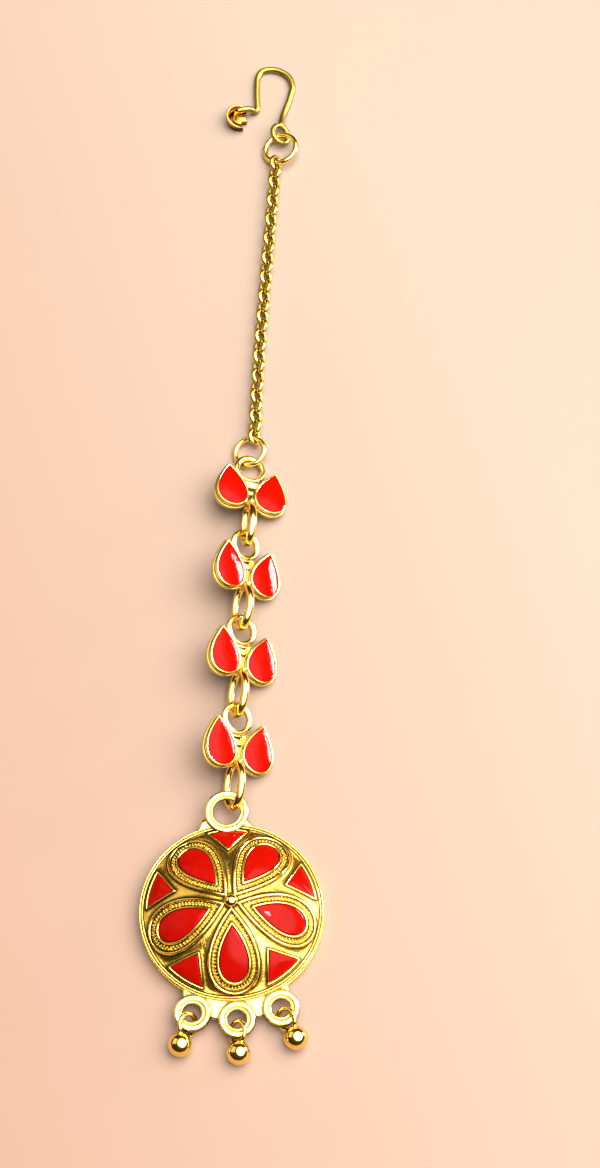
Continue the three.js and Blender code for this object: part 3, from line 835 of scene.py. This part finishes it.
# Painted shade beside the eyelets and under both plates
bottom_plate = flange(bottom_knots, eyelet["height"] - 0.1, eyelet["thickness"] * 0.65)
raised.add(bottom_plate, round_eyelets, disc_matrix, disc_middle)
top_plate = flange(top_knots, top_ring["height"] - 0.65, 0.85)
raised.add(top_plate, below(top_ring["height"] - 0.5, 0.4), disc_matrix, disc_middle)
# Painted shade on the lower sides of the two beads round the rim
for share in (0.2, 0.78):
    radius = dome_radius + rim_width * share
    bead = ellipse_ring(radius, radius, oval(rim_width * 0.36, rim_width, 12, 2.2), 240)
    raised.add(bead, below(0.2, 0.2), disc_matrix, disc_middle + (0, 0, rim_height - rim_width / 3))
raised.piece("pendant_borders", gold, "gold_metal")

grain_rows(np.random.default_rng(11)).piece("pendant_grains", gold, "gold_metal")


def crowned(outline_at, middle, floor, top, crown, ground_height, count=12):
    """Poured enamel: rings shrink from the outline to the middle, with height = top + crown * (1 - share ** 2)."""
    outline = outline_at(glaze_grow)
    rows = [(1.0, floor), (1.0, top - 0.05), (0.985, top - 0.01)]
    rows += [(share, top + crown * (1 - share ** 2)) for share in np.linspace(0.96, 0.08, count)]
    rings = []
    for share, height in rows:
        spot = middle + (outline - middle) * share
        rings.append(np.stack([*spot.T, ground_height(*spot.T) + height], -1))
    under = [np.stack([*spot.T, ground_height(*spot.T) + floor], -1) for spot in (
        middle + (outline - middle) * share for share in (0.08, 0.3, 0.6, 0.85)
    )]
    bottom = np.array((*middle, ground_height(*middle) + floor))
    peak = np.array((*middle, ground_height(*middle) + top + crown))
    return shut(np.stack(under + rings), bottom, peak)


enamel_top = inlay_gap + enamel_thickness
petal_middle = np.array((petal_tip_radius + petal_length * 0.6, 0))
corner_middle = np.array((corner_apex_radius * 0.4 + corner_outer_radius * 0.6, 0))
for i in range(petal_count):
    angle = first_petal_angle + i * petal_step
    for kind, outline_at, middle, turn in (
        ("petal", petal_outline, petal_middle, angle),
        ("corner", corner_outline, corner_middle, angle + petal_step / 2),
    ):
        skin = Skin()
        surface = crowned(outline_at, middle, inlay_gap, enamel_top, enamel_crown, dome_height)
        skin.add(surface, 0.0, disc_matrix @ spun(turn), disc_middle)
        node = f"{kind}_enamel_{i + 1}"
        skin.piece(f"{node}_glaze", disc_red, "red_enamel", node)


# Ball drops

drop_loop_half_height = (eyelet["thickness"] / math.cos(drop_tilt) + drop_wire) / 2 + 2 * link_play
drop_loop_half_length = (eyelet["band"] + drop_wire) / 2 + 5 * link_play
eyelet_band_radius = disc_radius + eyelet["reach"] + eyelet["radius"] - eyelet["band"] / 2
drop_loop_centre = eyelet_band_radius - link_play
ball_centre = drop_loop_centre + drop_loop_half_length + ball_radius - drop_wire / 2

for name, side, angle in zip(("left", "middle", "right"), (1, -1, -1), eyelet_angles):
    skin = Skin()
    turn = disc_matrix @ spun(angle)
    loop = ellipse_ring(drop_loop_half_length, drop_loop_half_height, oval(drop_wire, drop_wire, 14), 48)
    tilt = turn @ pitched(math.pi / 2 + side * drop_tilt)
    # A light, even painted shade on the drop's loop
    skin.add(loop, 0.15, tilt, turn @ (drop_loop_centre, 0, eyelet["height"]) + disc_middle)
    skin.add(ball(ball_radius, 48), 0.0, None, turn @ (ball_centre, 0, ball_radius + rest_gap) + disc_middle)
    skin.piece(f"drop_{name}_ball", gold, "gold_metal", f"drop_{name}")


# Leaf links

leaf_top = leaf_thickness / 2
leaf_floor = leaf_top - leaf_pocket
leaf_middle = np.array((leaf_length * 0.62, 0))


def leaf_cup():
    """A leaf's cup: rows of grown outlines, each (grow, height) on one rounded profile, from foot to pocket."""
    foot, body = inlay_gap + leaf_rim, inlay_gap + leaf_rim - leaf_foot
    step = leaf_foot_thickness - leaf_top
    profile = rounded_line([
        (foot - 0.5, -leaf_top),
        (foot, -leaf_top),
        (foot, step),
        (body, step),
        (body, step + groove_rise),
        (body - groove_depth, step + groove_rise + groove_width / 3),
        (body - groove_depth, step + groove_rise + groove_width * 2 / 3),
        (body, step + groove_rise + groove_width),
        (body, leaf_top - lip_step),
        (lip_inner + lip_width, leaf_top - lip_step),
        (lip_inner + lip_width, leaf_top),
        (lip_inner, leaf_top),
        (lip_inner, leaf_floor),
        (-0.2, leaf_floor),
    ], 0.1, 4)
    rings = np.stack([
        np.column_stack([teardrop(leaf_length, leaf_width, grow), np.full(96, height)])
        for grow, height in profile
    ])
    return shut(rings, np.array((*leaf_middle, -leaf_top)), np.array((*leaf_middle, leaf_floor)))


def cup_painted_shade(points):
    """Painted shade value in the two grooves of a leaf's wall, on the step beside its lip, and down at its foot."""
    step = leaf_foot_thickness - leaf_top
    middles = (step + 0.04, step + groove_rise + groove_width / 2)
    grooves = [0.9 * np.exp(-((points[:, 2] - middle) / 0.09) ** 2) for middle in middles]
    grooves.append(0.85 * np.exp(-((points[:, 2] - leaf_top + lip_step) / 0.07) ** 2))
    return np.maximum(np.max(grooves, axis=0), below(-leaf_top + 0.35, 0.4, 0.7)(points))


def leaf_turn(side):
    """Turn and place of a leaf at its side of the link: -1 is left, 1 is right."""
    return spun(-math.pi / 2 - side * leaf_tilt), np.array((side * leaf_tip_across, leaf_tip_up, 0))


def link_web():
    """Plate between the leaves, width = foot + flare * share ** 1.5 towards the eyelet, with two raised bands."""
    count = 72
    top = link_eye["up"] - link_eye["radius"] + link_eye["band"] / 2
    share = np.linspace(0, 1, count)
    width = web_foot_width + web_flare * share ** 1.5
    section = oval(1.0, 1.0, 24, 3.0)
    ridge = sum(rise * np.exp(-((share - middle) / reach) ** 2) for rise, middle, reach in web_bands)
    thickness = link_eye["thickness"] * (0.7 + 0.7 * ridge)
    rings = np.stack([
        width[:, None] * section[:, 0],
        np.broadcast_to((share * top)[:, None], (count, 24)),
        thickness[:, None] * section[:, 1] - link_eye["sink"] + 0.35 - 0.3 * share[:, None],
    ], -1)
    # Painted shade off the two raised bands, deepening towards the eyelet
    hollow = np.repeat(0.6 * np.clip(1 - 2 * ridge, 0, 1) * share, 24)
    return shut(rings, rings[0].mean(0), rings[-1].mean(0)), np.append(hollow, (0, 0))


def link_origin(node, matrix):
    """Place of a link's junction, from the tip of its packed right enamel."""
    turn, place = leaf_turn(1)
    towards_tip = matrix @ turn @ (-1, 0, 0)
    points = node_points(node)
    reach = points @ towards_tip
    tip = points[reach > reach.max() - 1e-3].mean(0)
    local = place + (0, 0, (leaf_floor + inlay_gap + leaf_top) / 2)
    return tip - matrix @ local


def level(x, y):
    """A flat ground: height 0 everywhere."""
    return x * 0


for i, (turn, pitch, roll) in enumerate(link_poses, start=1):
    matrix = spun(math.radians(turn)) @ pitched(math.radians(pitch)) @ rolled(math.radians(roll))
    origin = link_origin(f"leaf_enamel_{i}_right", matrix)
    skin = Skin()
    # Painted shade in the cups' grooves and feet, under the eye, on the web off its bands, and round the bead
    for side in (-1, 1):
        leaf, place = leaf_turn(side)
        skin.add(leaf_cup(), cup_painted_shade, matrix @ leaf, matrix @ place + origin)
    eye_place = matrix @ (0, link_eye["up"], -link_eye["sink"]) + origin
    skin.add(flat_ring(link_eye), below(0.1, 0.35, 0.75), matrix, eye_place)
    loop = ellipse_ring(
        link_loop_reach / 2, link_loop_half_depth, oval(link_loop_wire, link_loop_wire * 1.1, 18, 2.3), 72, 0.06,
    )
    hang = matrix @ rolled(math.pi / 2) @ spun(math.pi / 2)
    skin.add(loop, 0.0, hang, matrix @ (0, -link_loop_reach / 2, -link_loop_sink) + origin)
    web, web_shade = link_web()
    skin.add(web, web_shade, matrix, origin)
    skin.add(ball(link_bead_radius, 20), below(0.1, 0.3), None, matrix @ (0, 0, leaf_top) + origin)
    skin.piece(f"leaf_link_{i}_casting", gold, "gold_metal", f"leaf_link_{i}")
    for name, side in (("left", -1), ("right", 1)):
        leaf, place = leaf_turn(side)
        enamel = Skin()
        poured = crowned(
            lambda grow: teardrop(leaf_length, leaf_width, grow), leaf_middle,
            leaf_floor + inlay_gap, leaf_top, enamel_crown, level,
        )
        enamel.add(poured, 0.0, matrix @ leaf, matrix @ place + origin)
        node = f"leaf_enamel_{i}_{name}"
        enamel.piece(f"{node}_glaze", leaf_red, "red_enamel", node)


# Jump rings and chain

def wire_ring(ring):
    """A round wire carried round a circle."""
    radius = ring["radius"] - ring["wire"] / 2
    return ellipse_ring(radius, radius, oval(ring["wire"], ring["wire"], 18), 80)


for node, ring in (("lower_jump_ring", lower_ring), ("top_jump_ring", upper_ring)):
    skin = Skin()
    skin.add(wire_ring(ring), 0.0, rolled(ring["roll"]), node_middle(node))
    skin.piece(f"{node}_wire", gold, "gold_metal", node)


def curve_through(points, count):
    """Centripetal Catmull-Rom curve through the points, sampled evenly along its length."""
    points = np.array(points, float)
    ends = [2 * points[0] - points[1]], [2 * points[-1] - points[-2]]
    whole = np.concatenate([ends[0], points, ends[1]])
    made = []
    for p0, p1, p2, p3 in zip(whole[:-3], whole[1:-2], whole[2:-1], whole[3:]):
        t1 = np.linalg.norm(p1 - p0) ** 0.5
        t2 = t1 + np.linalg.norm(p2 - p1) ** 0.5
        t3 = t2 + np.linalg.norm(p3 - p2) ** 0.5
        t = np.linspace(t1, t2, 40, endpoint=False)[:, None]
        a1 = (t1 - t) / t1 * p0 + t / t1 * p1
        a2 = (t2 - t) / (t2 - t1) * p1 + (t - t1) / (t2 - t1) * p2
        a3 = (t3 - t) / (t3 - t2) * p2 + (t - t2) / (t3 - t2) * p3
        b1 = (t2 - t) / t2 * a1 + t / t2 * a2
        b2 = (t3 - t) / (t3 - t1) * a2 + (t - t1) / (t3 - t1) * a3
        made.append((t2 - t) / (t2 - t1) * b1 + (t - t1) / (t2 - t1) * b2)
    made.append(points[-1:])
    line = np.concatenate(made)
    length = np.append(0, np.linalg.norm(np.diff(line, axis=0), axis=1).cumsum())
    places = np.linspace(0, length[-1], count)
    return np.stack([np.interp(places, length, line[:, i]) for i in range(3)], -1), length[-1]


def inner_side(points):
    """Painted shade value on the inner side of a chain link's wire, where the links crowd together."""
    shape = np.hypot(points[:, 0] / chain_half_length, points[:, 1] / chain_half_width)
    return 0.6 * np.clip((1.0 - shape) / 0.25, 0, 1)


chain_half_length = (chain_pitch + chain_wire - chain_bite) / 2
chain_half_width = (chain_link_width - chain_wire) / 2
chain_height = chain_half_width * math.sin(chain_roll) + chain_wire * chain_swell / 2 + rest_gap
chain_reach = lower_ring["radius"] - lower_ring["wire"] + chain_half_length - chain_wire / 2 - chain_ring_play
chain_start = node_middle("lower_jump_ring") * (1, 1, 0) + (
    chain_reach * math.sin(chain_ring_aside), chain_reach * math.cos(chain_ring_aside), chain_height,
)
chain_whole = chain_pitch * (chain_link_count - 1)
fine_route, route_length = curve_through(np.array(chain_route) * (chain_whole, chain_whole, 1) + chain_start, 4000)
skin = Skin()
for i in range(chain_link_count):
    at = min(int(round(i * chain_pitch / route_length * 3999)), 3998)
    step = fine_route[at + 1] - fine_route[at]
    turn = spun(math.atan2(step[1], step[0])) @ pitched(chain_roll * (-1 if i % 2 else 1))
    link = ellipse_ring(chain_half_length, chain_half_width, oval(chain_wire, chain_wire, 12, 2.3) * chain_swell, 32)
    skin.add(link, inner_side, turn, fine_route[at])
skin.piece("chain_links", dull_gold, "gold_metal", "chain")


# Hook

hook_reach = upper_ring["radius"] + hook_eye_length - upper_ring["wire"] - 2 * hook_wire
hook_place = node_middle("top_jump_ring") * (1, 1, 0) + (0, hook_reach, 0)


def hook_route():
    """Points of the wire from the eye's foot up the leg, over the arch, down to the bend and along the bar."""
    arch_left = hook_leg_lean - hook_arch_width + hook_wire + arch_shift
    arch_top = hook_leg_length + hook_arch_rise - hook_wire / 2 + arch_lift
    height = hook_wire * hook_swell / 2 + rest_gap
    over = [(arch_left + across, arch_top - drop, height) for across, drop in arch_outline]
    corner, tip = over[-1], (arch_left - hook_bar_length, arch_top - tip_drop, height + bar_rise)
    bar = [
        (*np.add(corner, np.subtract(tip, corner) * share)[:2], height + bar_rise * rise)
        for share, rise in bar_knots
    ]
    return np.array([
        (0, 0, height + hook_eye_rise),
        (hook_leg_lean * 0.3, hook_leg_length * 0.35, height + hook_eye_rise / 3),
        *over, *bar, tip,
    ])


def tube(path, section):
    """A section carried along a flat-lying path, upright in it."""
    along = unit(np.gradient(path, axis=0))
    out = unit(np.cross(along, (0.0, 0.0, 1.0)))
    up = np.cross(out, along)
    return swept(path, out, up, section, closed=False)


skin = Skin()
path, _ = curve_through(hook_route(), 220)
seen_wire = hook_wire * hook_swell
skin.add(tube(path, oval(seen_wire, seen_wire, 18)), 0.0, None, hook_place)
eye_reach = (hook_eye_length - hook_wire) / 2
eye = ellipse_ring((hook_eye_width - hook_wire) / 2, eye_reach, oval(hook_wire, hook_wire, 18), 64)
skin.add(eye, 0.0, rolled(hook_eye_roll), hook_place + (0, -eye_reach, hook_route()[0][2]))
skin.piece("hair_hook_wire", hook_gold, "gold_metal", "hair_hook")


# Curled piece on the tip: a C-shaped strip round a small heart

def curl_strip():
    """An upright strip bent to an arc, thinner and lower towards its two ends."""
    turn = np.linspace(curl_start, curl_end, 90)
    share = (turn - curl_start) / (curl_end - curl_start)
    fullness = 0.45 + 0.55 * np.sin(math.pi * share) ** 0.6
    section = oval(1.0, 1.0, 24, 3.0)
    radius = curl_radius - curl_wall * fullness[:, None] * (0.5 - section[:, 0])
    height = curl_height * fullness[:, None] * (0.5 + section[:, 1]) + rest_gap
    lean = 0.86 + 0.14 * height / curl_height
    rings = np.stack([
        radius * lean * np.cos(turn)[:, None],
        radius * lean * np.sin(turn)[:, None],
        height,
    ], -1)
    return shut(rings, rings[0].mean(0), rings[-1].mean(0))


def heart():
    """A heart's outline, narrowed and raised in steps to a softly domed plate."""
    lobe = heart_width / 4
    corners = [(-curl_radius + curl_wall / 2, 0), (0, heart_width / 2), (heart_length / 2, lobe)]
    corners += [(heart_length / 3, 0), (heart_length / 2, -lobe), (0, -heart_width / 2)]
    outline = rounded_line([*corners, corners[0]], 0.7, 8)[:-1]
    middle = outline.mean(0)
    rows = [(0.9, rest_gap), (1.0, 0.12), (1.0, heart_height * 0.55), (0.94, heart_height * 0.66)]
    rows += [(0.8, heart_height * 0.72), (0.4, heart_height * 0.75)]
    rings = np.stack([
        np.column_stack([middle + (outline - middle) * share, np.full(len(outline), height)]) for share, height in rows
    ])
    return shut(rings, np.array((*middle, rest_gap)), np.array((*middle, heart_height * 0.76)))


scroll_points = node_points("tip_scroll")
scroll_left = scroll_points[:, 0].min() + arch_shift
scroll_place = np.array((scroll_left + curl_radius, node_middle("tip_scroll")[1], 0))
skin = Skin()
# Painted shade on the lower parts of the curl and the heart, in the reddish shade colour
skin.add(curl_strip(), below(curl_height * 0.8, 0.62, 0.95), None, scroll_place)
skin.add(heart(), below(heart_height * 0.7, 0.35, 0.95), spun(heart_turn), scroll_place)
skin.piece("tip_scroll_curl", red_gold, "red_gold_metal", "tip_scroll")


# Surface and light

warm_white = (1, 0.98, 0.95)
floor_size = 3.0
floor_slope = (-7.0, -3.2, 0)
floor_light = (0.305, 0.235, 0.180, 1)
floor_shade = (0.275, 0.148, 0.100, 1)
cap_direction = (0.36, 0.04, 0.93)
cap_strength = 8.0
cap_stops = [
    (0.0, (0.006, 0.004, 0.002)),
    (0.45, (0.008, 0.006, 0.003)),
    (0.70, (0.018, 0.014, 0.010)),
    (0.77, (0.30, 0.28, 0.25)),
    (0.81, (1.0, 0.97, 0.93)),
]


def area_light(name, place, aim, size, power, colour):
    """A panel that shows in polished surfaces and casts no shadow on the floor."""
    data = bpy.data.lights.new(name, "AREA")
    data.shape = "RECTANGLE"
    data.size, data.size_y = size
    data.energy = power
    data.color = colour
    light = bpy.data.objects.new(name, data)
    light.location = place
    direction = np.array(aim) - np.array(place)
    light.rotation_euler = (
        math.acos(-direction[2] / np.linalg.norm(direction)),
        0,
        math.atan2(direction[1], direction[0]) - math.pi / 2,
    )
    light.visible_diffuse = False
    bpy.context.scene.collection.objects.link(light)


def floor():
    """A plain square that the piece lies on, its colour going from one corner to the other."""
    mesh = bpy.data.meshes.new("floor")
    corners = [(x * floor_size, y * floor_size, 0) for x, y in ((-1, -1), (1, -1), (1, 1), (-1, 1))]
    mesh.from_pydata(corners, [], [(0, 1, 2, 3)])
    g = Graph("pale_surface")
    along = g.node("ShaderNodeVectorMath", {"operation": "DOT_PRODUCT"}, {0: g.place(), 1: floor_slope}, "Value")
    colour = g.blend((along + 0.35).clamped(), floor_light, floor_shade)
    mesh.materials.append(g.finish(base_color=colour, roughness=0.7))
    made = bpy.data.objects.new("floor", mesh)
    bpy.context.scene.collection.objects.link(made)


floor()
area_light("key", (0.20, -0.04, 0.46), (0, -0.06, 0), (0.045, 0.045), 1.2, warm_white)
area_light("window", (0.517, 0.183, 0.128), (0, 0, 0), (0.17, 0.075), 7.0, warm_white)
area_light("wall", (-0.41, 0.14, 0.33), (0, 0, 0), (0.50, 0.40), 0.6, (1, 0.96, 0.88))


def soft_sky():
    """Light from a wide cap overhead, a little to the right and back, that falls off to a dark warm horizon."""
    world = bpy.data.worlds.new("world")
    world.use_nodes = True
    tree = world.node_tree
    direction = tree.nodes.new("ShaderNodeTexCoord")
    facing = tree.nodes.new("ShaderNodeVectorMath")
    facing.operation = "DOT_PRODUCT"
    facing.inputs[1].default_value = cap_direction
    ramp = tree.nodes.new("ShaderNodeValToRGB")
    Graph.set_stops(ramp.color_ramp, cap_stops)
    background = tree.nodes["Background"]
    tree.links.new(direction.outputs["Generated"], facing.inputs[0])
    tree.links.new(facing.outputs["Value"], ramp.inputs[0])
    tree.links.new(ramp.outputs[0], background.inputs[0])
    background.inputs[1].default_value = cap_strength
    bpy.context.scene.world = world


soft_sky()
bpy.context.scene.view_settings.view_transform = "Standard"
